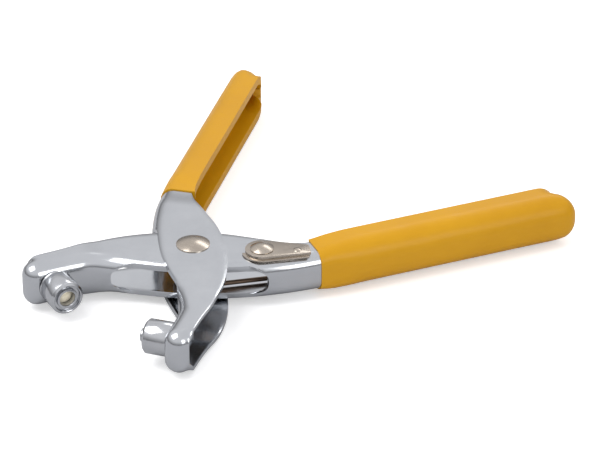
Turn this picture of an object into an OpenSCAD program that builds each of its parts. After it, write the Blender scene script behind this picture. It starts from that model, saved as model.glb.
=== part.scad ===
// Snap setter pliers: two folded sheet-steel levers on one rivet, with dipped grips,
// a cup die and a pin die, a return spring and a swinging latch.
// Origin: on the pivot axis, at the flat end of the rivet's tail. +X runs toward the latch side.

/* [Sheet metal] */
// Thickness of the folded sheet
sheet_t = 1.2; // [1.0:0.1:1.4]
// Half height of both levers in the jaws and in the handles, outside
end_half_h = 6.8; // [6.6:0.1:7.2]
// Half height of the inner lever at the pivot, outside
inner_half_h = 6.15; // [6.0:0.05:6.3]
// Free gap between an inner cheek and the outer cheek over it
cheek_gap = 0.2; // [0.15:0.05:0.4]
// End of the sheet inside the grip, from the pivot
handle_end = 112; // [104:0.5:112]
// Height of the middle plane above the surface the pliers lie on
mid_z = 8.4; // [8.4:0.1:9]

/* [Pose at rest] */
// Direction of the inner lever's handle
inner_dir = 22.7; // [20:0.1:25]
// Direction of the outer lever's handle, open
outer_dir = 75.3; // [70:0.1:78]
// Turn of the outer lever from open to closed
close_turn = 44.4; // [40:0.1:46]

/* [Pivot] */
// Radius of the pivot rivet's shank
pivot_r = 2.5; // [2:0.1:3]
// Radius of its domed head
pivot_head_r = 5.0; // [4.5:0.1:5.4]
// Height of the dome
pivot_dome_h = 1.5; // [1.2:0.1:1.8]
// Radius of its peened tail
pivot_tail_r = 3.6; // [3.2:0.1:4]
// Outer radius of the spacer bush
bush_r = 3.6; // [3.3:0.1:3.8]
// Radial clearance of each turning fit
run_gap = 0.05; // [0.02:0.01:0.1]

/* [Spring] */
// Diameter of the spring wire
wire_d = 1.4; // [1.2:0.1:1.5]
// Mean radius of the coil
coil_r = 5.4; // [5:0.1:5.6]
// Height of the lowest turn from the middle plane
coil_low = -3.8; // [-3.9:0.1:-3.6]
// Rise from turn to turn
coil_pitch = 1.6; // [1.5:0.05:1.8]
// Number of turns
coil_turns = 3; // [2:1:4]
// Length of each leg
leg_len = 58; // [40:1:60]
// Angle of each leg to its own handle
leg_turn = 10; // [9:0.5:11]

/* [Grips] */
// Thickness of the dipped coat
coat_t = 1.0; // [0.8:0.1:1.1]
// Start of the coat on the inner lever
inner_dip = 33; // [30:0.5:36]
// Start of the coat on the outer lever
outer_dip = 31; // [30:0.5:36]
// End of the coat on the inner lever, from the pivot
inner_tip = 117.6; // [116:0.1:119]
// End of the coat on the outer lever, from the pivot
outer_tip = 116.2; // [116:0.1:119]

/* [Dies] */
// Distance of both die axes from the pivot
die_reach = 40.6; // [40:0.1:42]
// Radius of both die bodies
die_r = 5.1; // [4.8:0.1:5.3]
// Length of both die bodies
die_len = 8.4; // [8:0.1:8.8]
// Angle of the cup die's face past the inner lever's own line
face_turn = 4.8; // [4:0.1:6]
// Gap left between the two faces when closed
face_gap = 0.35; // [0.3:0.05:0.6]
// Radius of the pin die's nub
nub_r = 2.0; // [1.8:0.05:2.1]
// Length of the nub
nub_len = 1.5; // [1.2:0.1:1.6]
// Bore radius of the cup die's ring
cup_r = 2.35; // [2.3:0.05:2.6]
// Outer radius of the ring
ring_r = 3.25; // [3:0.05:3.5]

/* [Latch] */
// Place of the latch rivet on the inner lever, along it
latch_u = 17.7; // [17:0.1:19]
// Place of the latch rivet across it
latch_v = -10.3; // [-11:0.1:-9.5]
// Radius of the latch's round end
latch_r = 5.0; // [4.5:0.1:5.2]
// Thickness of the latch plate
latch_t = 1.0; // [0.8:0.1:1.1]
// Radius of the latch rivet's head
latch_head_r = 3.5; // [3:0.1:3.8]
// Radius of the latch rivet's shank
latch_shank_r = 1.5; // [1.2:0.1:1.8]

/* [Hidden] */

EPS = 0.01;
FAR = 60;
outer_half_h = inner_half_h + cheek_gap + sheet_t;
open_v = -10.4;                  // open edge of each handle
spine_v = -19.2;                 // spine of each handle
nose_c = [-45.8, 9.1];           // centre of the jaw's rounded nose
nose_r = 4.1;
washer_t = 0.4;
latch_z = inner_half_h + washer_t + run_gap;
outer_face_turn = inner_dir + 180 + face_turn + close_turn;
outer_face_local = outer_dir - outer_face_turn;
window_cut = 1.6;                // how far each window reaches into the cheeks
window_taper = 6;                // length over which that depth is reached
inner_window = [-25, 17];        // ends of the window in the inner lever's spine
outer_window = [-25.5, 11];        // ends of the window in the outer lever's spine

// Points that the spine side and the open side of a lever run through, from jaw to handle
spine_pts = [[-45.8, 5], [-38, 5.3], [-31, 5], [-25.5, 2.9], [-20, -0.9], [-13, -5.7], [-7, -9.2],
             [0, -12.3], [7, -14.8], [14, -16.7], [22, -18.2], [30, -19], [38, spine_v]];
open_pts = [[-44.4, 13], [-36, 13.6], [-28, 14.6], [-20, 14.8], [-12, 13.8], [-4, 11.6], [4, 8.4],
            [12, 3.9], [20, -2.3], [27, -7.7], [33, -10], [40, open_v]];

function mix(a, b, t) = a * (1 - t) + b * t;
function smooth(t) = let(c = min(max(t, 0), 1)) c * c * (3 - 2 * c);

// Smooth curve through a list of points, STEPS pieces to each span
STEPS = 4;
function at(p, i) = p[min(max(i, 0), len(p) - 1)];
function span_point(a, b, c, d, t) =
    0.5 * (2 * b + (c - a) * t + (2 * a - 5 * b + 4 * c - d) * t * t + (3 * b - a - 3 * c + d) * t * t * t);
function curve(p) = concat(
    [for (i = [0 : len(p) - 2]) for (k = [0 : STEPS - 1])
        span_point(at(p, i - 1), p[i], p[i + 1], at(p, i + 2), k / STEPS)],
    [p[len(p) - 1]]);

// Points of an arc, and a path moved sideways by d to its left
function arc(c, r, a0, a1, n) = [for (i = [0 : n]) let(a = mix(a0, a1, i / n)) c + r * [cos(a), sin(a)]];
function side(p, i) = let(d = at(p, i + 1) - at(p, i - 1)) [-d[1], d[0]] / norm(d);
function inset(p, d) = [for (i = [0 : len(p) - 1]) p[i] + d * side(p, i)];
function reversed(p) = [for (i = [len(p) - 1 : -1 : 0]) p[i]];

// Rounded end of a handle, from its spine side to its open side
function round_end(u, vs, vo, rs, ro) = concat(
    arc([u - rs, vs + rs], rs, -90, 0, 6),
    arc([u - ro, vo - ro], ro, 0, 90, 8));

// Half height of a lever along its length: ends at end_half_h, middle at h
function half_h(u, h, jaw, grip) =
    mix(mix(end_half_h, h, smooth((u - jaw[0]) / (jaw[1] - jaw[0]))),
        end_half_h, smooth((u - grip[0]) / (grip[1] - grip[0])));

spine = curve(spine_pts);
wall = concat(arc(nose_c, nose_r, 110, 262, 12), spine);
outline = concat(arc(nose_c, nose_r, 75, 262, 14), spine,
                 round_end(handle_end, spine_v, open_v, 2.5, 6), reversed(curve(open_pts)));

inner_jaw = [-31.3, -23.4];
inner_step = [31.7, 37.6];
outer_jaw = [-33.3, -23.4];
outer_step = [21.3, 31.4];

// A prism whose side view follows half_h, less the sheet's thickness where less is given
module side_prism(h, jaw, grip, less = 0) {
    us = concat([-FAR], [for (i = [0 : 6]) mix(jaw[0], jaw[1], i / 6)],
                [for (i = [0 : 6]) mix(grip[0], grip[1], i / 6)], [130]);
    top = [for (u = us) [u, half_h(u, h, jaw, grip) - less]];
    bottom = [for (p = reversed(top)) [p[0], -p[1]]];
    rotate([90, 0, 0]) linear_extrude(2 * FAR, center = true) polygon(concat(top, bottom));
}

// The hollow between a lever's cheeks
module hollow() {
    end = handle_end - sheet_t;
    linear_extrude(2 * FAR, center = true)
        polygon(concat(inset(wall, sheet_t), [[130, spine_v + sheet_t], [130, 40], [-44.5, 40]]));
}

// How far the window reaches into the cheeks: nothing at its ends, the full depth between
function window_depth(u, ends) =
    mix(-0.05, window_cut, smooth((u - ends[0]) / window_taper) * smooth((ends[1] - u) / window_taper));

// A long window across the spine, with round ends in the wall and tapered edges in the cheeks
module window(ends, half) {
    c = (ends[0] + ends[1]) / 2;
    r = (ends[1] - ends[0]) / 2;
    n = 24;
    upper = [for (i = [0 : n]) let(s = -cos(180 * i / n))
        [c + r * s, half * pow(max(1 - pow(abs(s), 4), 0), 1 / 4)]];
    lower = [for (i = [n - 1 : -1 : 1]) [upper[i][0], -upper[i][1]]];
    edge = [for (i = [0 : len(spine) - 1]) if (spine[i][0] > ends[0] && spine[i][0] < ends[1])
        spine[i] + window_depth(spine[i][0], ends) * side(spine, i)];
    linear_extrude(2 * FAR, center = true)
        polygon(concat(edge, [[ends[1], -50], [ends[0], -50]]));
    intersection() {
        rotate([90, 0, 0]) linear_extrude(2 * FAR, center = true) polygon(concat(upper, lower));
        linear_extrude(2 * FAR, center = true)
            polygon(concat(inset(spine, sheet_t + 0.3), [[40, -50], [-50, -50]]));
    }
}

// A folded lever in its own frame: handle along +X, spine on the -Y side
module lever(h, jaw, grip, ends) {
    difference() {
        intersection() {
            linear_extrude(2 * FAR, center = true) polygon(outline);
            side_prism(h, jaw, grip);
        }
        intersection() {
            hollow();
            side_prism(h, jaw, grip, sheet_t);
        }
        window(ends, h - sheet_t);
    }
}

module through(r) { cylinder(h = 2 * FAR, r = r, center = true, $fn = 48); }

// Frames: lever frames, and the frame of a die with its face outward along +Y
module inner_frame() { translate([0, 0, mid_z]) rotate(inner_dir) children(); }
module outer_frame() { translate([0, 0, mid_z]) rotate(outer_dir) mirror([0, 1, 0]) children(); }
module inner_die_frame() { rotate(180 + face_turn) translate([die_reach, 0, 0]) children(); }
module outer_die_frame() { rotate(outer_face_local) translate([die_reach, -face_gap, 0]) children(); }
module along_y() { rotate([-90, 0, 0]) children(); }

// A turned piece: profile points are [radius, distance along +Y]
module turned(profile) { along_y() rotate_extrude($fn = 64) polygon(profile); }

shank_r = 2.6;
shank_in = sheet_t + 0.9;

module inner_lever() {
    color("#c9ccd2") inner_frame() difference() {
        lever(inner_half_h, inner_jaw, inner_step, inner_window);
        through(pivot_r + run_gap);
        translate([latch_u, latch_v, 0]) cylinder(h = 20, r = latch_shank_r, $fn = 48);
        inner_die_frame() die_shape();
    }
}

module outer_lever() {
    color("#c4c8cf") outer_frame() difference() {
        lever(outer_half_h, outer_jaw, outer_step, outer_window);
        through(pivot_r);
        outer_die_frame() die_shape();
    }
}

// The dipped coat: outside and inside of the handle, open along one side, closed at the end
module grip(start, tip) {
    coat_h = end_half_h + coat_t;
    difference() {
        intersection() {
            linear_extrude(2 * coat_h, center = true) polygon(concat(
                inset([for (p = spine) if (p[0] > 24) p], -coat_t),
                round_end(tip, spine_v - coat_t, open_v + coat_t, 3.2, 7.4),
                inset(reversed([for (p = curve(open_pts)) if (p[0] > 24) p]), -coat_t)));
            translate([start, -FAR, -FAR]) cube([2 * FAR, 2 * FAR, 2 * FAR]);
        }
        intersection() {
            linear_extrude(2 * FAR, center = true) polygon(concat(
                inset([for (p = spine) if (p[0] > 20) p], sheet_t + coat_t),
                [[handle_end - 5, spine_v + sheet_t + coat_t], [handle_end - 5, 10], [20, 10]]));
            cube([400, 400, 2 * (end_half_h - sheet_t - coat_t)], center = true);
        }
    }
}

module inner_grip() {
    color("#e2a11a") inner_frame() difference() {
        grip(inner_dip, inner_tip);
        lever(inner_half_h, inner_jaw, inner_step, inner_window);
    }
}

module outer_grip() {
    color("#e2a11a") outer_frame() difference() {
        grip(outer_dip, outer_tip);
        lever(outer_half_h, outer_jaw, outer_step, outer_window);
    }
}

// Domed rivet head of radius r and height h, standing on z = 0
module dome(r, h) {
    sphere_r = (r * r + h * h) / (2 * h);
    intersection() {
        translate([0, 0, h - sphere_r]) sphere(r = sphere_r, $fn = 96);
        cylinder(h = h + 1, r = r, $fn = 64);
    }
}

module pivot_rivet() {
    color("#b8ad9c") translate([0, 0, mid_z]) {
        translate([0, 0, outer_half_h]) dome(pivot_head_r, pivot_dome_h);
        cylinder(h = 2 * outer_half_h, r = pivot_r, center = true, $fn = 48);
        translate([0, 0, -mid_z]) cylinder(h = mid_z - outer_half_h, r = pivot_tail_r, $fn = 64);
    }
}

module pivot_bush() {
    h = 2 * (inner_half_h - sheet_t);
    color("#a9adb3") translate([0, 0, mid_z]) difference() {
        cylinder(h = h, r = bush_r, center = true, $fn = 48);
        through(pivot_r + run_gap);
    }
}

// One straight leg, tangent to the coil
module leg(z) {
    translate([0, 0, z]) rotate(-leg_turn) translate([0, -coil_r, 0])
        rotate([0, 90, 0]) cylinder(h = leg_len, r = wire_d / 2, $fn = 24);
}

// The coil's outer shape as one ring, with a leg from its first and its last turn
module return_spring() {
    wrap = wire_d + 0.1;
    rise = coil_turns * coil_pitch;
    color("#4a3a2c") translate([0, 0, mid_z]) {
        rotate_extrude($fn = 64)
            translate([coil_r - wrap / 2, coil_low - wrap / 2]) square([wrap, rise + wrap]);
        rotate(inner_dir) leg(coil_low);
        rotate(outer_dir) mirror([0, 1, 0]) leg(coil_low + rise);
    }
}

// Outside of a die body: barrel, shank through the jaw and a peened end inside it
module die_shape() {
    chamfer = 0.6;
    turned([[0, 0], [die_r - chamfer, 0], [die_r, -chamfer], [die_r, -die_len], [shank_r, -die_len],
            [shank_r, -die_len - shank_in], [0, -die_len - shank_in]]);
}

module inner_die_body() {
    color("#c8c9cc") inner_frame() inner_die_frame() difference() {
        die_shape();
        turned([[0, 1], [ring_r + 0.9, 1], [ring_r + 0.9, -0.9], [ring_r, -0.9], [ring_r, -4], [0, -4]]);
    }
}

module inner_die_ring() {
    color("#d6d6d6") inner_frame() inner_die_frame()
        turned([[cup_r, 0], [ring_r - 0.25, 0], [ring_r, -0.25], [ring_r, -2.6], [cup_r, -2.6]]);
}

module inner_die_pad() {
    color("#efe3bf") inner_frame() inner_die_frame() {
        turned([[0, -4], [ring_r, -4], [ring_r, -2.6], [0, -2.6]]);
        translate([0, -2.6 - EPS, 0]) along_y() dome(cup_r - 0.15, 1.1);
    }
}

module outer_die_body() {
    color("#c8c9cc") outer_frame() outer_die_frame() difference() {
        die_shape();
        turned([[0, 1], [1.5, 1], [1.5, -3], [0, -3]]);
    }
}

module outer_die_pin() {
    color("#d6d6d6") outer_frame() outer_die_frame()
        turned([[0, -3], [1.5, -3], [1.5, 0], [nub_r, 0], [nub_r, nub_len], [0, nub_len]]);
}

latch_tip = [[31.2, -13], [30.5, -17.8]];

module latch() {
    c = [latch_u, latch_v];
    rim = arc(c, latch_r, 250, 70, 20);
    lip = 0.9;
    front = [rim[0], latch_tip[1]];
    color("#b5aa99") inner_frame() {
        translate([0, 0, latch_z]) difference() {
            linear_extrude(latch_t) polygon(concat(latch_tip, rim));
            translate([latch_u, latch_v, 0]) through(latch_shank_r + run_gap);
        }
        translate([0, 0, inner_half_h + 0.15]) linear_extrude(washer_t)
            polygon(concat(front, reversed(inset(front, lip))));
        translate([27, -15, latch_z + latch_t]) dome(1.3, 0.45);
    }
}

module latch_rivet() {
    color("#b8ad9c") inner_frame() translate([latch_u, latch_v, 0]) {
        translate([0, 0, latch_z + latch_t + run_gap]) dome(latch_head_r, 1.3);
        translate([0, 0, inner_half_h - sheet_t - 0.6])
            cylinder(h = sheet_t + 0.7 + washer_t + latch_t + 2 * run_gap, r = latch_shank_r, $fn = 48);
        translate([0, 0, inner_half_h - sheet_t - 0.6]) cylinder(h = 0.6, r = 2.3, $fn = 48);
    }
}

module latch_washer() {
    color("#a9adb3") inner_frame() translate([latch_u, latch_v, inner_half_h]) difference() {
        cylinder(h = washer_t, r = 3, $fn = 48);
        through(latch_shank_r);
    }
}

inner_lever();
outer_lever();
inner_grip();
outer_grip();
pivot_rivet();
pivot_bush();
return_spring();
inner_die_body();
inner_die_ring();
inner_die_pad();
outer_die_body();
outer_die_pin();
latch();
latch_rivet();
latch_washer();
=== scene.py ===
"""Snap setter pliers: folded plated levers, dipped grips, turned dies, rivets, spring and latch."""

import logging
import math
from collections.abc import Callable
from dataclasses import dataclass
from enum import Enum

import bmesh
import bpy
import numpy as np
from mathutils import Matrix, Vector


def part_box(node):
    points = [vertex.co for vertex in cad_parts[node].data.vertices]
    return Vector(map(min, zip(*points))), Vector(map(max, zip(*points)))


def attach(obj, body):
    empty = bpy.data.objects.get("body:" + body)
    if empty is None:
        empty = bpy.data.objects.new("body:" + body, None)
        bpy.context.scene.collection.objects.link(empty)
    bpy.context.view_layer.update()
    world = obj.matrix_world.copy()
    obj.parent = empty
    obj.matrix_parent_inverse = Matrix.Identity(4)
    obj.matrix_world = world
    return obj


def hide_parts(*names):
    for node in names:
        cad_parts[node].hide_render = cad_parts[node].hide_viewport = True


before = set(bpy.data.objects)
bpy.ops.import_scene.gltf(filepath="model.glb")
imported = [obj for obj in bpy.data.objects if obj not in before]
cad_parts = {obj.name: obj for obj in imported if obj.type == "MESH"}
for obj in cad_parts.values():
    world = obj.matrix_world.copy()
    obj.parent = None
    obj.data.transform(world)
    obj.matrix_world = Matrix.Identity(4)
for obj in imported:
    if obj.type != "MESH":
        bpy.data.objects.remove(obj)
LOG = logging.getLogger("pliers")
MM = 0.001
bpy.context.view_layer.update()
MID_Z = sum(corner.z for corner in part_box("inner_grip")) / 2 / MM
INNER_DIR = math.radians(22.7)
OUTER_DIR = math.radians(75.3)
SHEET = 1.2
COAT = 1.0
COAT_START = 0.35
WELD = 1e-7
DOME_STEPS = 12
SHARP = math.radians(38)
INNER_HALF = 6.15
OUTER_HALF = 7.55
END_HALF = 6.8


class Body(Enum):
    """The rigid bodies that pieces ride on."""

    INNER = "inner"
    OUTER = "outer"
    LATCH = "latch"


class Slot(Enum):
    """The record's material slots."""

    SHEET = "plated_sheet"
    VINYL = "dipped_vinyl"
    NICKEL = "nickel"
    BUSH = "bush_steel"
    WIRE = "spring_wire"
    DIE = "die_steel"
    PAD = "die_pad"


# ---------------------------------------------------------------- shader maths


class Value:
    """A shader socket that carries a number, with Python's operators."""

    def __init__(self, shader: "Shader", socket: bpy.types.NodeSocket) -> None:
        """Wraps one output socket of a shader."""
        self.shader = shader
        self.socket = socket

    def _math(self, operation: str, a: object, b: object, clamp: bool = False) -> "Value":
        """Adds a Math node.

        Args:
            operation: The node's operation.
            a: First operand.
            b: Second operand.
            clamp: Whether the result stays within 0 and 1.

        Returns:
            The node's result.
        """
        settings = {"operation": operation, "use_clamp": clamp}
        return self.shader.value("ShaderNodeMath", settings, {0: a, 1: b})

    def __add__(self, other: object) -> "Value":
        """Sum."""
        return self._math("ADD", self, other)

    __radd__ = __add__

    def __sub__(self, other: object) -> "Value":
        """Difference."""
        return self._math("SUBTRACT", self, other)

    def __rsub__(self, other: object) -> "Value":
        """Difference, the other way round."""
        return self._math("SUBTRACT", other, self)

    def __mul__(self, other: object) -> "Value":
        """Product."""
        return self._math("MULTIPLY", self, other)

    __rmul__ = __mul__

    def clamped(self) -> "Value":
        """The value kept within 0 and 1."""
        return self._math("ADD", self, 0.0, clamp=True)


class Shader:
    """The node tree of one material or world."""

    def __init__(self, owner: bpy.types.Material | bpy.types.World) -> None:
        """Empties the owner's node tree."""
        self.owner = owner
        owner.use_nodes = True
        self.tree = owner.node_tree
        self.tree.nodes.clear()

    def node(
        self, kind: str, settings: dict | None = None, sockets: dict | None = None
    ) -> bpy.types.Node:
        """Adds a node.

        Args:
            kind: The node's type.
            settings: Its properties, set first. A ramp's stops are pairs of position and colour.
            sockets: Its inputs by name or index, each a constant or a link.

        Returns:
            The node.
        """
        made = self.tree.nodes.new(kind)
        for key, item in (settings or {}).items():
            if key == "stops":
                for stop, (position, colour) in zip(made.color_ramp.elements, item):
                    stop.position, stop.color = position, colour
            else:
                setattr(made, key, item)
        for key, item in (sockets or {}).items():
            source = item.socket if isinstance(item, Value) else item
            if isinstance(source, bpy.types.NodeSocket):
                self.tree.links.new(source, made.inputs[key])
            else:
                made.inputs[key].default_value = source
        return made

    def value(self, kind: str, settings: dict, sockets: dict, output: object = 0) -> Value:
        """Adds a node and wraps one of its outputs."""
        return Value(self, self.node(kind, settings, sockets).outputs[output])

    def place(self) -> bpy.types.NodeSocket:
        """The object's own coordinates, in metres."""
        return self.node("ShaderNodeTexCoord").outputs["Object"]

    def noise(self, scale: float, detail: float = 4.0, stretch: tuple = (1, 1, 1)) -> Value:
        """Noise over the object.

        Args:
            scale: Features per metre.
            detail: Octaves of finer noise.
            stretch: Scale along each axis before the noise.

        Returns:
            The noise, from 0 to 1.
        """
        moved = self.node("ShaderNodeMapping", {}, {"Vector": self.place(), "Scale": stretch})
        sockets = {"Vector": moved.outputs[0], "Scale": scale, "Detail": detail, "Roughness": 0.55}
        return self.value("ShaderNodeTexNoise", {}, sockets, "Fac")

    def between(self, factor: Value, low: tuple, high: tuple) -> bpy.types.NodeSocket:
        """A colour between two colours by a factor."""
        sockets = {0: factor, 6: (*low, 1.0), 7: (*high, 1.0)}
        return self.node("ShaderNodeMix", {"data_type": "RGBA"}, sockets).outputs[2]

    def edge(self, radius: float) -> Value:
        """How strongly the surface bends within a radius in metres, near 1 on an edge."""
        bevel = self.node("ShaderNodeBevel", {"samples": 4}, {"Radius": radius})
        flat = self.node("ShaderNodeNewGeometry").outputs["Normal"]
        sockets = {0: bevel.outputs[0], 1: flat}
        alike = self.value("ShaderNodeVectorMath", {"operation": "DOT_PRODUCT"}, sockets, "Value")
        return ((1.0 - alike) * 6.0).clamped()

    def close(self, kind: str, surface: bpy.types.Node) -> bpy.types.Material | bpy.types.World:
        """Links a surface to an output node of that type, and gives back the owner."""
        self.node(kind, {}, {0: surface.outputs[0]})
        return self.owner

    def finish(self, bump: Value, height: float, **inputs: object) -> bpy.types.Material:
        """Closes the material with a Principled shader.

        Args:
            bump: Height of the surface's fine relief.
            height: The relief's depth in metres.
            **inputs: Principled inputs, with underscores for spaces.

        Returns:
            The material.
        """
        named = {key.replace("_", " "): item for key, item in inputs.items()}
        relief = self.node("ShaderNodeBump", {}, {"Strength": 1.0, "Distance": height, "Height": bump})
        named["Normal"] = relief.outputs[0]
        return self.close("ShaderNodeOutputMaterial", self.node("ShaderNodeBsdfPrincipled", {}, named))


@dataclass(frozen=True)
class MetalFinish:
    """A bare or plated metal with fine scratches, cloudy patches and a painted highlight along its edges."""

    name: str
    low: tuple
    high: tuple
    rough: float
    spread: float
    grain: tuple = (1, 1, 1)
    relief: float = 0.00001

    def material(self) -> bpy.types.Material:
        """Builds the finish."""
        shader = Shader(bpy.data.materials.new(self.name))
        cloud = shader.noise(90.0, 3.0)
        scratch = shader.noise(900.0, 5.0, self.grain)
        # painted highlight: the base colour is pushed toward the bright colour along every edge
        painted_edge_highlight = shader.edge(0.0004)
        tone = (cloud * 0.7 + scratch * 0.3 + painted_edge_highlight * 0.5).clamped()
        roughness = (self.rough + (scratch - 0.5) * self.spread + (cloud - 0.5) * self.spread).clamped()
        return shader.finish(
            bump=scratch * 0.4 + shader.noise(120.0, 2.0) * 1.2, height=self.relief,
            Base_Color=shader.between(tone, self.low, self.high), Roughness=roughness, Metallic=1.0,
        )


@dataclass(frozen=True)
class VinylFinish:
    """Dipped vinyl: a satin skin with slow waves, a faint pebble and small scuffs."""

    name: str = "dipped_vinyl"
    deep: tuple = (0.50, 0.235, 0.002)
    bright: tuple = (0.62, 0.315, 0.003)

    def material(self) -> bpy.types.Material:
        """Builds the finish."""
        shader = Shader(bpy.data.materials.new(self.name))
        waves = shader.noise(45.0, 2.0)
        pebble = shader.noise(1500.0, 3.0)
        scuff = shader.noise(260.0, 6.0, (1, 1, 2))
        tone = (waves * 0.8 + scuff * 0.3).clamped()
        roughness = (0.36 + (scuff - 0.5) * 0.22 + (waves - 0.5) * 0.08).clamped()
        return shader.finish(
            bump=waves * 1.0 + pebble * 0.05, height=0.0005,
            Base_Color=shader.between(tone, self.deep, self.bright), Roughness=roughness,
            Specular_IOR_Level=0.25, Coat_Weight=0.03, Coat_Roughness=0.22,
        )


@dataclass(frozen=True)
class NylonFinish:
    """A cream nylon disc with a soft gloss."""

    name: str = "cream_nylon"

    def material(self) -> bpy.types.Material:
        """Builds the finish."""
        shader = Shader(bpy.data.materials.new(self.name))
        cloud = shader.noise(700.0, 4.0)
        colour = shader.between(cloud, (0.72, 0.62, 0.42), (0.92, 0.87, 0.72))
        return shader.finish(bump=cloud, height=0.00003, Base_Color=colour, Roughness=0.25 + cloud * 0.1)


# ---------------------------------------------------------------- plan curves


def smooth(t: np.ndarray | float) -> np.ndarray | float:
    """A smooth step from 0 to 1."""
    c = np.clip(t, 0.0, 1.0)
    return c * c * (3 - 2 * c)


def spline(points: list, steps: int) -> np.ndarray:
    """A smooth curve through points.

    Args:
        points: Plan points in millimetres.
        steps: Pieces between each two points.

    Returns:
        The curve's points, one a row.
    """
    p = np.array([points[0], *points, points[-1]], float)
    out = []
    for a, b, c, d in zip(p, p[1:], p[2:], p[3:]):
        for k in range(steps):
            t = k / steps
            cubic = (2 * a - 5 * b + 4 * c - d) * t * t + (3 * b - a - 3 * c + d) * t**3
            out.append(0.5 * (2 * b + (c - a) * t + cubic))
    return np.array([*out, p[-1]])


def arc(centre: tuple, radius: float, start: float, end: float, steps: int) -> np.ndarray:
    """Points along an arc, its angles in degrees."""
    angles = np.radians(np.linspace(start, end, steps + 1))
    return np.array(centre) + radius * np.stack([np.cos(angles), np.sin(angles)], 1)


def inset(path: np.ndarray, depth: np.ndarray | float) -> np.ndarray:
    """A path moved to its left by a depth, the same all along or one for each point."""
    tangent = np.gradient(path, axis=0)
    tangent /= np.linalg.norm(tangent, axis=1)[:, None]
    left = np.stack([-tangent[:, 1], tangent[:, 0]], 1)
    return path + left * np.broadcast_to(np.atleast_1d(depth), (len(path),))[:, None]


def distance_to(points: np.ndarray, path: np.ndarray) -> np.ndarray:
    """The distance from each plan point to a path."""
    a, b = path[:-1], path[1:]
    ab = b - a
    t = np.einsum("pij,ij->pi", points[:, None] - a, ab) / np.einsum("ij,ij->i", ab, ab)
    nearest = a + np.clip(t, 0, 1)[..., None] * ab
    return np.linalg.norm(points[:, None] - nearest, axis=2).min(1)


def along(path: np.ndarray, distance: np.ndarray) -> np.ndarray:
    """Points of a path at given distances along it."""
    run = np.concatenate([[0.0], np.cumsum(np.linalg.norm(np.diff(path, axis=0), axis=1))])
    return np.stack([np.interp(distance, run, path[:, k]) for k in range(2)], 1)


def on_curve(curve: np.ndarray, u: np.ndarray) -> np.ndarray:
    """Points of a curve at given places along its first axis."""
    return np.stack([u, np.interp(u, curve[:, 0], curve[:, 1])], 1)


# The folded wall and the open edge in a lever's own plan, from the jaw to the end of the handle.
SPINE_V = -19.2
OPEN_V = -10.4
STRAIGHT = (60, 85, 107)
CURVE_STEPS = 8
SPINE = spline([
    (-45.8, 5), (-38, 5.3), (-31, 5), (-25.5, 2.9), (-20, -0.9), (-13, -5.7), (-7, -9.2), (0, -12.3),
    (7, -14.8), (14, -16.7), (22, -18.2), (30, -19), (38, SPINE_V), *((u, SPINE_V) for u in STRAIGHT),
], CURVE_STEPS)
OPEN = spline([
    (-44.4, 13), (-36, 13.6), (-28, 14.6), (-20, 14.8), (-12, 13.8), (-4, 11.6), (4, 8.4), (12, 3.9),
    (20, -2.3), (27, -7.7), (33, -10), (40, OPEN_V), *((u, OPEN_V) for u in STRAIGHT),
], CURVE_STEPS)
# The jaw's tip: an arc that the wall follows up to one angle, and where the open edge starts on it.
NOSE = ((-45.8, 9.1), 4.1)
WALL_END = 118
EDGE_START = 77


# ---------------------------------------------------------------- mesh helpers


def mesh_object(name: str, verts: np.ndarray, faces: list) -> bpy.types.Object:
    """Makes an object from points in millimetres.

    Args:
        name: The object's name.
        verts: Its points.
        faces: Its faces.

    Returns:
        The object, linked to the scene.
    """
    mesh = bpy.data.meshes.new(name)
    mesh.from_pydata([tuple(v) for v in np.asarray(verts) * MM], [], faces)
    obj = bpy.data.objects.new(name, mesh)
    bpy.context.scene.collection.objects.link(obj)
    return obj


def applied(obj: bpy.types.Object, place: Matrix | None = None) -> bpy.types.Object:
    """Bakes an object's modifiers and moves its mesh to its place.

    Args:
        obj: The object.
        place: Where the mesh goes, in metres; a mirrored place turns the faces over.

    Returns:
        The same object with its final mesh.
    """
    graph = bpy.context.evaluated_depsgraph_get()
    final = bpy.data.meshes.new_from_object(obj.evaluated_get(graph))
    obj.modifiers.clear()
    obj.data = final
    if place is not None:
        final.transform(place)
        if place.determinant() < 0:
            final.flip_normals()
    final.shade_smooth()
    final.set_sharp_from_angle(angle=SHARP)
    return obj


def outward(obj: bpy.types.Object, weld: bool = False) -> bpy.types.Object:
    """Turns a closed mesh's faces outward, joining points that coincide when asked."""
    work = bmesh.new()
    work.from_mesh(obj.data)
    if weld:
        bmesh.ops.remove_doubles(work, verts=work.verts, dist=WELD)
    bmesh.ops.recalc_face_normals(work, faces=work.faces)
    work.to_mesh(obj.data)
    work.free()
    return obj


def modify(obj: bpy.types.Object, kind: str, **settings: object) -> None:
    """Adds a modifier with its settings."""
    made = obj.modifiers.new(kind.lower(), kind)
    for key, item in settings.items():
        setattr(made, key, item)


def soften(obj: bpy.types.Object, width: float, segments: int, angle: float) -> None:
    """Rounds an object's edges sharper than an angle in degrees, to a width in millimetres."""
    limit = math.radians(angle)
    modify(obj, "BEVEL", width=width * MM, segments=segments, limit_method="ANGLE", angle_limit=limit)


def prism(
    name: str, outline: np.ndarray, low: float, high: float, upright: bool = True
) -> bpy.types.Object:
    """A closed prism over an outline.

    Args:
        name: The object's name.
        outline: The outline's points in millimetres.
        low: Start of the prism.
        high: End of the prism.
        upright: Along Z over a plan, or else along Y over a side view.

    Returns:
        The object.
    """
    count = len(outline)
    rows = []
    for level in (low, high):
        for p in outline:
            rows.append((p[0], p[1], level) if upright else (p[0], level, p[1]))
    faces = [tuple(range(count)), tuple(range(count, 2 * count))]
    faces += [(i, (i + 1) % count, count + (i + 1) % count, count + i) for i in range(count)]
    return outward(mesh_object(name, np.array(rows), faces))


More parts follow.
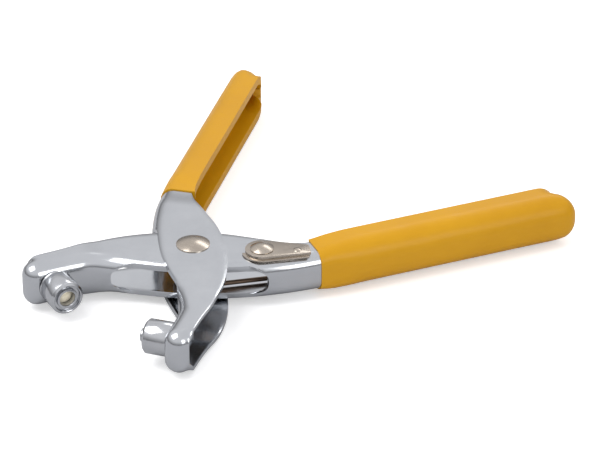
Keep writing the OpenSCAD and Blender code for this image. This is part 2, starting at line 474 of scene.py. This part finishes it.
def turned(name: str, profile: list, place: Matrix, steps: int = 72) -> bpy.types.Object:
    """A turned piece.

    Args:
        name: The object's name.
        profile: Points of radius and height in millimetres, from the axis round to the axis.
        place: Where the piece's own frame lies, in metres.
        steps: Facets round the axis.

    Returns:
        The object with its final mesh.
    """
    verts = [(r * math.cos(a), r * math.sin(a), z) for r, z in profile
             for a in (2 * math.pi * k / steps for k in range(steps))]
    faces = [(row * steps + k, row * steps + (k + 1) % steps, (row + 1) * steps + (k + 1) % steps,
              (row + 1) * steps + k) for row in range(len(profile) - 1) for k in range(steps)]
    return applied(outward(mesh_object(name, np.array(verts), faces), weld=True), place)


def dome_profile(radius: float, height: float, base: float, rim: float = 0.25) -> list:
    """A rivet head's profile, with a short upright rim under its dome."""
    ball = (radius**2 + (height - rim) ** 2) / (2 * (height - rim))
    radii = [radius * math.sin(math.pi / 2 * k / DOME_STEPS) for k in range(DOME_STEPS + 1)]
    curved = [(r, base + height - ball + math.sqrt(ball**2 - r * r)) for r in radii]
    return [*curved, (radius, base), (0.0, base)]


def tube(name: str, path: np.ndarray, radius: float, sides: int = 12) -> bpy.types.Object:
    """A closed round wire along a path, both in millimetres."""
    tangents = np.gradient(path, axis=0)
    tangents /= np.linalg.norm(tangents, axis=1)[:, None]
    rows = []
    for p, t in zip(path, tangents):
        across = np.cross(t, (0.0, 0.0, 1.0))
        across /= np.linalg.norm(across)
        up = np.cross(across, t)
        rows += [p + radius * (across * math.cos(a) + up * math.sin(a))
                 for a in (2 * math.pi * k / sides for k in range(sides))]
    faces = [(i * sides + k, i * sides + (k + 1) % sides, (i + 1) * sides + (k + 1) % sides,
              (i + 1) * sides + k) for i in range(len(path) - 1) for k in range(sides)]
    faces += [tuple(range(sides))[::-1], tuple(range((len(path) - 1) * sides, len(path) * sides))]
    return applied(outward(mesh_object(name, np.array(rows), faces)))


def dress(
    obj: bpy.types.Object, body: Body, slot: Slot, material: bpy.types.Material, *nodes: str
) -> None:
    """Gives a piece its finish and body, and hides the nodes it stands for."""
    obj.data.materials.clear()
    obj.data.materials.append(material)
    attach(obj, body.value)
    if nodes:
        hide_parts(*nodes)
    LOG.info("%s rides on %s, %d faces", obj.name, body.value, len(obj.data.polygons))


def lever_place(direction: float, mirrored: bool) -> Matrix:
    """Where a lever's own frame lies: handle along its X, spine on its -Y side."""
    flip = Matrix.Diagonal((1, -1 if mirrored else 1, 1, 1))
    return Matrix.Translation((0, 0, MID_Z * MM)) @ Matrix.Rotation(direction, 4, "Z") @ flip


INNER_PLACE = lever_place(INNER_DIR, False)
OUTER_PLACE = lever_place(OUTER_DIR, True)


# ---------------------------------------------------------------- folded sheet


@dataclass
class FoldedSheet:
    """A U channel folded from one sheet: two cheeks joined by a wall with rounded folds."""

    name: str
    wall: np.ndarray
    edge: np.ndarray
    half: Callable[[np.ndarray], np.ndarray]
    fold: Callable[[np.ndarray], np.ndarray]
    thickness: float
    fold_rows: tuple = (0.0, 0.03, 0.1, 0.22, 0.38, 0.58, 0.8, 1.0)
    cheek_rows: int = 8
    wall_rows: int = 6

    def cheek(self) -> np.ndarray:
        """The top cheek's points, one row for each station, from the open edge to the wall."""
        run = self.edge - self.wall
        length = np.linalg.norm(run, axis=1)
        reach = np.minimum(self.fold(self.wall[:, 0]), 0.8 * length) / length
        shares = [reach * x for x in self.fold_rows]
        shares += [reach + (1 - reach) * (k + 1) / self.cheek_rows for k in range(self.cheek_rows)]
        plan = np.stack([self.wall + run * s[:, None] for s in shares[::-1]], 1)
        flat = plan.reshape(-1, 2)
        fold = self.fold(flat[:, 0])
        depth = np.minimum(distance_to(flat, self.wall), fold)
        drop = fold - np.sqrt(np.maximum(fold**2 - (fold - depth) ** 2, 0))
        height = self.half(flat[:, 0]) - drop
        return np.concatenate([flat, height[:, None]], 1).reshape(plan.shape[0], plan.shape[1], 3)

    def build(self) -> bpy.types.Object:
        """Builds the sheet with its thickness.

        Returns:
            An object whose modifiers are still live.
        """
        top = self.cheek()
        bottom = top[:, ::-1] * (1, 1, -1)
        steps = np.linspace(0, 1, self.wall_rows + 1)[1:-1]
        side = np.stack([top[:, -1] * (1 - s) + bottom[:, 0] * s for s in steps], 1)
        grid = np.concatenate([top, side, bottom], 1)
        rows, cols = grid.shape[:2]
        faces = [(i * cols + j, i * cols + j + 1, (i + 1) * cols + j + 1, (i + 1) * cols + j)
                 for i in range(rows - 1) for j in range(cols - 1)]
        obj = mesh_object(self.name, grid.reshape(-1, 3), faces)
        modify(obj, "SOLIDIFY", thickness=self.thickness * MM, offset=-1.0)
        return obj


@dataclass
class Lever:
    """One folded lever with its window, and the dipped grip on its handle.

    Lengths are in millimetres. The sheet is built in rows that run from its open edge to its wall:
    row_lean is how far the rows reach forward at the jaw, and tip_lean how far they lag at the grip's end.
    """

    label: str
    body: Body
    place: Matrix
    half_h: float
    jaw_step: tuple
    grip_step: tuple
    window: tuple
    dip: float
    coat_end: float
    fold: float = 4.0
    cut_depth: float = 1.6
    cut_taper: float = 6.0
    cut_power: float = 3.2
    near_r: float = 4.4
    far_r: float = 6.3
    end_taper: float = 8.0
    end_drop: float = 2.0
    skin_span: float = 12.0
    fold_start: float = 0.3
    fold_growth: float = 2.2
    fold_span: float = 14.0
    fold_limit: float = 0.86
    row_lean: float = 4.8
    row_span: float = 15.0
    tip_lean: float = 9.0
    tip_start: float = 85.0
    tip_span: float = 30.0

    def half(self, u: np.ndarray) -> np.ndarray:
        """Half the outside height at each place along the lever."""
        jaw = smooth((u - self.jaw_step[0]) / (self.jaw_step[1] - self.jaw_step[0]))
        grip = smooth((u - self.grip_step[0]) / (self.grip_step[1] - self.grip_step[0]))
        middle = END_HALF + (self.half_h - END_HALF) * jaw
        return middle + (END_HALF - middle) * grip

    def sheet_fold(self, u: np.ndarray) -> np.ndarray:
        """The sheet's outer fold radius, the same all along."""
        return np.full(np.shape(u), self.fold)

    def skin(self, u: np.ndarray) -> np.ndarray:
        """The coat's thickness outside, which thins toward its start."""
        return COAT * (COAT_START + (1 - COAT_START) * smooth((u - self.dip) / self.skin_span))

    def coat_half(self, u: np.ndarray) -> np.ndarray:
        """Half the height over the dipped coat, which drops off toward its end."""
        t = ((u - self.coat_end + self.end_taper) / self.end_taper).clip(0, 1)
        return self.half(u) + self.skin(u) - self.end_drop * (1 - np.sqrt(1 - t**2))

    def coat_fold(self, u: np.ndarray) -> np.ndarray:
        """The coat's outer fold radius, which grows from the sheet's own."""
        grown = self.fold + self.fold_start + self.fold_growth * smooth((u - self.dip) / self.fold_span)
        return np.minimum(grown, self.fold_limit * self.coat_half(u))

    def cutters(self) -> list:
        """The two solids that cut the window: one through the wall, one along the cheeks."""
        low, high = self.window
        inside = SPINE[(SPINE[:, 0] > low) & (SPINE[:, 0] < high)]
        u = inside[:, 0]
        ends = smooth((u - low) / self.cut_taper) * smooth((high - u) / self.cut_taper)
        depth = self.cut_depth * ends - 0.05
        rim = np.concatenate([inset(inside, depth), [(high, -40), (low, -40)]])
        cheeks = prism("cut", rim, -20, 20)
        s = -np.cos(np.linspace(0, math.pi, 33))
        middle, reach = (low + high) / 2, (high - low) / 2
        tall = (self.half_h - SHEET) * (1 - np.abs(s) ** self.cut_power).clip(0) ** (1 / self.cut_power)
        oval = np.concatenate([np.stack([middle + reach * s, tall], 1),
                               np.stack([middle + reach * s, -tall], 1)[-2:0:-1]])
        wall = prism("cut", oval, -40, 14, upright=False)
        band = np.concatenate([inset(SPINE[SPINE[:, 0] < 40], SHEET + 0.3), [(41, -45), (-50, -45)]])
        limit = prism("cut", band, -20, 20)
        modify(wall, "BOOLEAN", operation="INTERSECT", object=limit, solver="EXACT")
        applied(wall)
        bpy.data.objects.remove(limit)
        return [wall, cheeks]

    def steel(self, material: bpy.types.Material) -> None:
        """Builds the folded lever."""
        nose = arc(*NOSE, WALL_END, 262, 24)
        wall = np.concatenate([nose, SPINE])
        u = SPINE[:, 0]
        paired = u + self.row_lean * (1 - smooth((u - NOSE[0][0]) / self.row_span))
        edge_u = np.concatenate([np.linspace(-44.8, -41.2, len(nose)), paired])
        edge = on_curve(np.concatenate([arc(*NOSE, EDGE_START, EDGE_START, 0), OPEN]), edge_u)
        name = self.label + "_lever_steel"
        obj = FoldedSheet(name, wall, edge, self.half, self.sheet_fold, SHEET).build()
        cutters = self.cutters()
        for cutter in cutters:
            modify(obj, "BOOLEAN", operation="DIFFERENCE", object=cutter, solver="EXACT")
        soften(obj, 0.16, 2, 50)
        applied(obj, self.place)
        for cutter in cutters:
            bpy.data.objects.remove(cutter)
        dress(obj, self.body, Slot.SHEET, material, self.label + "_lever")

    def coat(self, material: bpy.types.Material) -> None:
        """Builds the dipped grip: the coat outside and inside of the handle, closed at its end."""
        run = np.concatenate([[self.dip], np.arange(self.dip + 0.6, self.coat_end - 5, 2.0)])
        spine = np.stack([run, np.interp(run, SPINE[:, 0], SPINE[:, 1]) - self.skin(run)], 1)
        near = arc((self.coat_end - self.near_r, spine[-1, 1] + self.near_r), self.near_r, -85, 0, 12)
        corner = (self.coat_end - self.far_r, OPEN_V + COAT - self.far_r)
        wall = np.concatenate([spine, near, arc(corner, self.far_r, 4, 64, 12)])
        line = np.stack([run, np.interp(run, OPEN[:, 0], OPEN[:, 1]) + COAT], 1)
        rim = np.concatenate([line[run < corner[0] - 1], arc(corner, self.far_r, 90, 84, 3)])
        total = np.linalg.norm(np.diff(rim, axis=0), axis=1).sum()
        back = run - run[0] - self.tip_lean * smooth((run - self.tip_start) / self.tip_span)
        tail = np.linspace(back[-1], total, len(wall) - len(run) + 1)[1:]
        edge = along(rim, np.concatenate([back, tail]))
        name, thickness = self.label + "_grip_coat", SHEET + 1.5 * COAT
        obj = FoldedSheet(name, wall, edge, self.coat_half, self.coat_fold, thickness).build()
        soften(obj, 0.8, 4, 55)
        dress(applied(obj, self.place), self.body, Slot.VINYL, material, self.label + "_grip")


# ---------------------------------------------------------------- small parts


@dataclass
class Pivot:
    """The pivot rivet and the torsion spring round it."""

    head_r: float = 5.0
    head_h: float = 1.5
    tail_r: float = 3.6
    coil_r: float = 5.4
    wire_r: float = 0.7
    coil_low: float = -3.8
    pitch: float = 1.6
    turns: int = 3
    leg: float = 58.0
    leg_turn: float = 10.0

    def rivet(self, material: bpy.types.Material) -> None:
        """Builds the rivet: a domed head, its shank and its flat tail."""
        head = dome_profile(self.head_r, self.head_h, MID_Z + OUTER_HALF)[:-1]
        shank = [(2.5, MID_Z + OUTER_HALF), (2.5, MID_Z - OUTER_HALF)]
        tail = [(self.tail_r, MID_Z - OUTER_HALF), (self.tail_r, 0.15), (self.tail_r - 0.15, 0), (0, 0)]
        obj = turned("pivot_rivet_head", [*head, *shank, *tail], Matrix.Identity(4))
        dress(obj, Body.OUTER, Slot.NICKEL, material, "pivot_rivet")

    def coil(self, start: float, end: float, low: float, high: float, steps: int) -> np.ndarray:
        """Points of the coil between two angles in degrees and two heights."""
        a = np.radians(np.linspace(start, end, steps))
        z = MID_Z + np.linspace(low, high, steps)
        return np.stack([self.coil_r * np.cos(a), self.coil_r * np.sin(a), z], 1)

    def leg_points(self, angle: float, turn: int, height: float) -> np.ndarray:
        """Points of a straight leg that leaves the coil at an angle, turning one way or the other."""
        a = math.radians(angle)
        away = np.array([-math.sin(a), math.cos(a)]) * turn
        root = self.coil_r * np.array([math.cos(a), math.sin(a)])
        steps = np.linspace(0.6, self.leg, 24)[:, None]
        plan = root + away * steps
        return np.concatenate([plan, np.full((len(plan), 1), MID_Z + height)], 1)

    def spring(self, material: bpy.types.Material) -> None:
        """Builds the coil with the inner leg, and the outer leg that turns with the outer lever."""
        high = self.coil_low + self.turns * self.pitch
        inner_angle = math.degrees(INNER_DIR) - self.leg_turn - 90
        outer_angle = math.degrees(OUTER_DIR) + self.leg_turn + 90
        first = self.leg_points(inner_angle, 1, self.coil_low)[::-1]
        wrap = self.coil(inner_angle, outer_angle - 360 * (self.turns + 1), self.coil_low, high, 160)
        obj = tube("spring_coil", np.concatenate([first, wrap]), self.wire_r)
        dress(obj, Body.INNER, Slot.WIRE, material, "return_spring")
        lead = self.coil(outer_angle + 60, outer_angle, high, high, 12)
        second = np.concatenate([lead, self.leg_points(outer_angle, -1, high)])
        dress(tube("spring_outer_leg", second, self.wire_r), Body.OUTER, Slot.WIRE, material)


@dataclass
class Dies:
    """The cup die on the inner jaw and the pin die on the outer jaw."""

    reach: float = 40.6
    radius: float = 5.1
    length: float = 8.4
    face_turn: float = 4.8
    close_turn: float = 44.4
    gap: float = 0.35
    shank_r: float = 2.6
    shank: float = 2.0
    bore_r: float = 3.25
    cup_r: float = 2.35
    pad_base: float = -2.6
    nub_r: float = 2.0
    nub_core: float = 1.5

    def frame_of(self, place: Matrix, turn: float, back: float) -> Matrix:
        """A die's own frame in a lever's frame: its face at Z = 0, looking along +Z."""
        turned_to = Matrix.Rotation(math.radians(turn), 4, "Z")
        moved = Matrix.Translation((self.reach * MM, -back * MM, 0))
        return place @ turned_to @ moved @ Matrix.Rotation(math.radians(-90), 4, "X")

    def barrel(self, face: list) -> list:
        """A barrel's profile from its face down to the peened end of its shank."""
        r, length = self.radius, self.length
        soft = [(r - 0.15 + 0.15 * math.sin(a), -0.7 + 0.15 * math.cos(a)) for a in (0.2, 0.8, 1.4)]
        groove = [(r, 0.9 - length), (r - 0.12, 0.7 - length), (r - 0.12, 0.45 - length), (r, 0.25 - length)]
        end = -length - self.shank
        shank = [(r, -length), (self.shank_r, -length), (self.shank_r, end)]
        return [*face, *soft, *groove, *shank, (self.shank_r - 0.3, end - 0.1), (0, end - 0.1)]

    def cup(self, steel: bpy.types.Material, nylon: bpy.types.Material) -> None:
        """Builds the cup die: barrel, raised ring and cream centre."""
        place = self.frame_of(INNER_PLACE, 180 + self.face_turn, 0)
        bore, cup, base = self.bore_r, self.cup_r, self.pad_base
        face = [(0, -4), (bore, -4), (bore, -0.9), (4.0, -0.9), (4.15, -0.75), (4.15, -0.15), (4.3, -0.02),
                (4.45, 0)]
        barrel = turned("cup_die_barrel", self.barrel(face), place)
        dress(barrel, Body.INNER, Slot.DIE, steel, "inner_die_body")
        ring = [(cup, base), (cup, -0.2), (cup + 0.15, 0), (2.95, 0), (3.15, -0.08), (bore, -0.3),
                (bore, base), (cup, base)]
        dress(turned("cup_die_ring", ring, place), Body.INNER, Slot.DIE, steel, "inner_die_ring")
        pad = [*dome_profile(2.2, 1.1, base)[:-1], (bore - 0.01, base), (bore - 0.01, -3.99), (0, -3.99)]
        dress(turned("cup_die_pad", pad, place), Body.INNER, Slot.PAD, nylon, "inner_die_pad")

    def pin(self, steel: bpy.types.Material) -> None:
        """Builds the pin die: barrel and nub."""
        turn = math.degrees(OUTER_DIR - INNER_DIR) - 180 - self.face_turn - self.close_turn
        place = self.frame_of(OUTER_PLACE, turn, self.gap)
        nub_r, core = self.nub_r, self.nub_core
        face = [(0, -3), (core, -3), (core, -0.1), (2.4, -0.1), (2.55, 0), (4.45, 0)]
        barrel = turned("pin_die_barrel", self.barrel(face), place)
        dress(barrel, Body.OUTER, Slot.DIE, steel, "outer_die_body")
        nub = [(0, 1.4), (1.0, 1.4), (1.15, 1.5), (1.75, 1.5), (1.93, 1.42), (nub_r, 1.2), (nub_r, 0.0),
               (core, 0), (core, -3), (0, -3)]
        dress(turned("pin_die_nub", nub, place), Body.OUTER, Slot.DIE, steel, "outer_die_pin")


@dataclass
class Latch:
    """The swinging latch plate, with its folded front lip and its rivet."""

    spot: tuple = (17.7, -10.3)
    end_r: float = 5.0
    plate: float = 1.0
    lift: float = 0.45
    tip: tuple = ((31.2, -13.0), (30.5, -17.8))
    rim_steps: int = 28
    lip_t: float = 0.9
    boss_at: tuple = (27.0, -15.0)

    def swing(self, material: bpy.types.Material) -> None:
        """Builds the plate, its folded front lip and its small boss as one mesh."""
        base = INNER_HALF + self.lift
        rim = arc(self.spot, self.end_r, 250, 70, self.rim_steps)
        corner = arc((self.tip[0][0] - 1.1, self.tip[0][1] - 0.9), 1.1, 62, -5, 5)
        low = arc((self.tip[1][0] - 0.9, self.tip[1][1] + 1.0), 0.9, -10, -95, 5)
        outline = np.concatenate([corner, low, rim])
        plate = prism("latch_plate", outline, base, base + self.plate)
        front = np.concatenate([low[-1:], rim[:self.rim_steps // 2]])
        band = np.concatenate([front, inset(front[::-1], -self.lip_t)])
        lip = prism("lip", band, INNER_HALF + 0.15, base + 0.1)
        place = Matrix.Translation((self.boss_at[0] * MM, self.boss_at[1] * MM, 0))
        boss = turned("boss", dome_profile(1.3, 0.45, base + self.plate - 0.02, 0.05), place, 32)
        for extra in (lip, boss):
            modify(plate, "BOOLEAN", operation="UNION", object=extra, solver="EXACT")
        soften(plate, 0.22, 3, 40)
        applied(plate, INNER_PLACE)
        for extra in (lip, boss):
            bpy.data.objects.remove(extra)
        dress(plate, Body.LATCH, Slot.NICKEL, material, "latch")

    def rivet(self, material: bpy.types.Material) -> None:
        """Builds the latch rivet."""
        top = INNER_HALF + self.lift + self.plate + 0.05
        foot = INNER_HALF - SHEET - 0.6
        head = dome_profile(3.5, 1.3, top, 0.2)[:-1]
        rest = [(1.5, top), (1.5, foot + 0.6), (2.3, foot + 0.6), (2.3, foot), (0, foot)]
        place = INNER_PLACE @ Matrix.Translation((self.spot[0] * MM, self.spot[1] * MM, 0))
        obj = turned("latch_rivet_head", [*head, *rest], place, 56)
        dress(obj, Body.INNER, Slot.NICKEL, material, "latch_rivet")


# ---------------------------------------------------------------- studio


@dataclass
class Studio:
    """The pale floor, the soft lamps, the world and the camera."""

    floor_size: float = 6.0
    lens: float = 204.0
    camera_at: tuple = (31.47, -863.67, 521.08)
    tilt: float = 60.0
    sky: tuple = ((0.0, 0.16), (0.5, 0.9))
    aim: tuple = (0.03, 0.02, 0.0)

    def floor(self) -> None:
        """Builds the floor, pure white to the camera where nothing shades it."""
        s = self.floor_size / 2 / MM
        corners = np.array([(-s, -s, 0), (s, -s, 0), (s, s, 0), (-s, s, 0)])
        obj = mesh_object("floor", corners, [(0, 1, 2, 3)])
        shader = Shader(bpy.data.materials.new("pale_floor"))
        seen = shader.node("ShaderNodeLightPath")
        camera = Value(shader, seen.outputs["Is Camera Ray"])
        glossy = Value(shader, seen.outputs["Is Glossy Ray"])
        tone = shader.between(glossy, (0.82, 0.82, 0.82), (0.45, 0.45, 0.46))
        matt = shader.node("ShaderNodeBsdfDiffuse", {}, {"Color": tone})
        glow = shader.node("ShaderNodeEmission", {}, {"Strength": camera * 0.42 + glossy * 0.04})
        both = shader.node("ShaderNodeAddShader", {}, {0: matt.outputs[0], 1: glow.outputs[0]})
        obj.data.materials.append(shader.close("ShaderNodeOutputMaterial", both))

    def lamp(self, name: str, at: tuple, size: tuple, power: float) -> None:
        """Adds a rectangular soft lamp that points at the pliers."""
        data = bpy.data.lights.new(name, "AREA")
        data.shape, data.size, data.size_y, data.energy = "RECTANGLE", size[0], size[1], power
        obj = bpy.data.objects.new(name, data)
        obj.location = at
        obj.rotation_euler = (Vector(self.aim) - Vector(at)).to_track_quat("-Z", "Y").to_euler()
        bpy.context.scene.collection.objects.link(obj)

    def world(self) -> None:
        """Builds the world: white to the camera, else a grey sky that darkens to the horizon."""
        shader = Shader(bpy.data.worlds.new("studio"))
        place = shader.node("ShaderNodeTexCoord").outputs["Generated"]
        height = shader.node("ShaderNodeSeparateXYZ", {}, {0: place}).outputs["Z"]
        stops = [(position, (grey, grey, grey * 1.02, 1)) for position, grey in self.sky]
        ramp = shader.node("ShaderNodeValToRGB", {"stops": stops}, {0: height})
        sky = shader.node("ShaderNodeBackground", {}, {0: ramp.outputs[0]})
        white = shader.node("ShaderNodeBackground", {}, {0: (1, 1, 1, 1)})
        camera = shader.node("ShaderNodeLightPath").outputs["Is Camera Ray"]
        mix = shader.node("ShaderNodeMixShader", {}, {0: camera, 1: sky.outputs[0], 2: white.outputs[0]})
        bpy.context.scene.world = shader.close("ShaderNodeOutputWorld", mix)

    def camera(self) -> None:
        """Places the camera."""
        data = bpy.data.cameras.new("camera")
        data.lens, data.sensor_width = self.lens, 36.0
        data.clip_start, data.clip_end = 0.05, 20.0
        obj = bpy.data.objects.new("camera", data)
        obj.location = [x * MM for x in self.camera_at]
        obj.rotation_euler = (math.radians(self.tilt), 0, 0)
        bpy.context.scene.collection.objects.link(obj)
        bpy.context.scene.camera = obj

    def build(self) -> None:
        """Builds the whole studio."""
        self.floor()
        self.world()
        self.camera()
        self.lamp("key", (-0.5, -0.1, 0.9), (0.7, 0.7), 5.5)
        self.lamp("back", (0.5, 0.9, 0.9), (0.8, 0.3), 2.2)
        self.lamp("fill", (0.7, -0.8, 0.5), (0.5, 0.5), 2.2)
        bpy.context.scene.view_settings.view_transform = "Standard"


def main() -> None:
    """Builds every piece, then the studio."""
    logging.basicConfig(level=logging.INFO, format="%(message)s")
    plated = MetalFinish(
        "plated_sheet", low=(0.48, 0.495, 0.52), high=(0.64, 0.655, 0.68), rough=0.17, spread=0.1,
        grain=(1, 1, 6),
    ).material()
    nickel = MetalFinish(
        "nickel", low=(0.36, 0.31, 0.26), high=(0.58, 0.52, 0.45), rough=0.27, spread=0.16
    ).material()
    turned_steel = MetalFinish(
        "die_steel", low=(0.42, 0.43, 0.45), high=(0.66, 0.67, 0.69), rough=0.18, spread=0.1
    ).material()
    bush = MetalFinish(
        "bush_steel", low=(0.35, 0.35, 0.36), high=(0.55, 0.55, 0.57), rough=0.35, spread=0.1
    ).material()
    wire = MetalFinish(
        "spring_wire", low=(0.07, 0.045, 0.03), high=(0.2, 0.14, 0.1), rough=0.38, spread=0.15
    ).material()
    vinyl = VinylFinish().material()
    nylon = NylonFinish().material()
    inner = Lever(
        "inner", Body.INNER, INNER_PLACE, INNER_HALF, jaw_step=(-31.3, -23.4), grip_step=(31.7, 37.6),
        window=(-25, 17), dip=33.0, coat_end=117.5,
    )
    outer = Lever(
        "outer", Body.OUTER, OUTER_PLACE, OUTER_HALF, jaw_step=(-33.3, -23.4), grip_step=(21.3, 31.4),
        window=(-25.5, 11), dip=31.0, coat_end=116.1,
    )
    for lever in (inner, outer):
        lever.steel(plated)
        lever.coat(vinyl)
    pivot = Pivot()
    pivot.rivet(nickel)
    pivot.spring(wire)
    dies = Dies()
    dies.cup(turned_steel, nylon)
    dies.pin(turned_steel)
    latch = Latch()
    latch.swing(nickel)
    latch.rivet(nickel)
    for name in ("pivot_bush", "latch_washer"):
        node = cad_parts[name]
        node.data.materials.clear()
        node.data.materials.append(bush)
        LOG.info("%s keeps its own mesh", name)
    Studio().build()


if __name__ == "__main__":
    main()
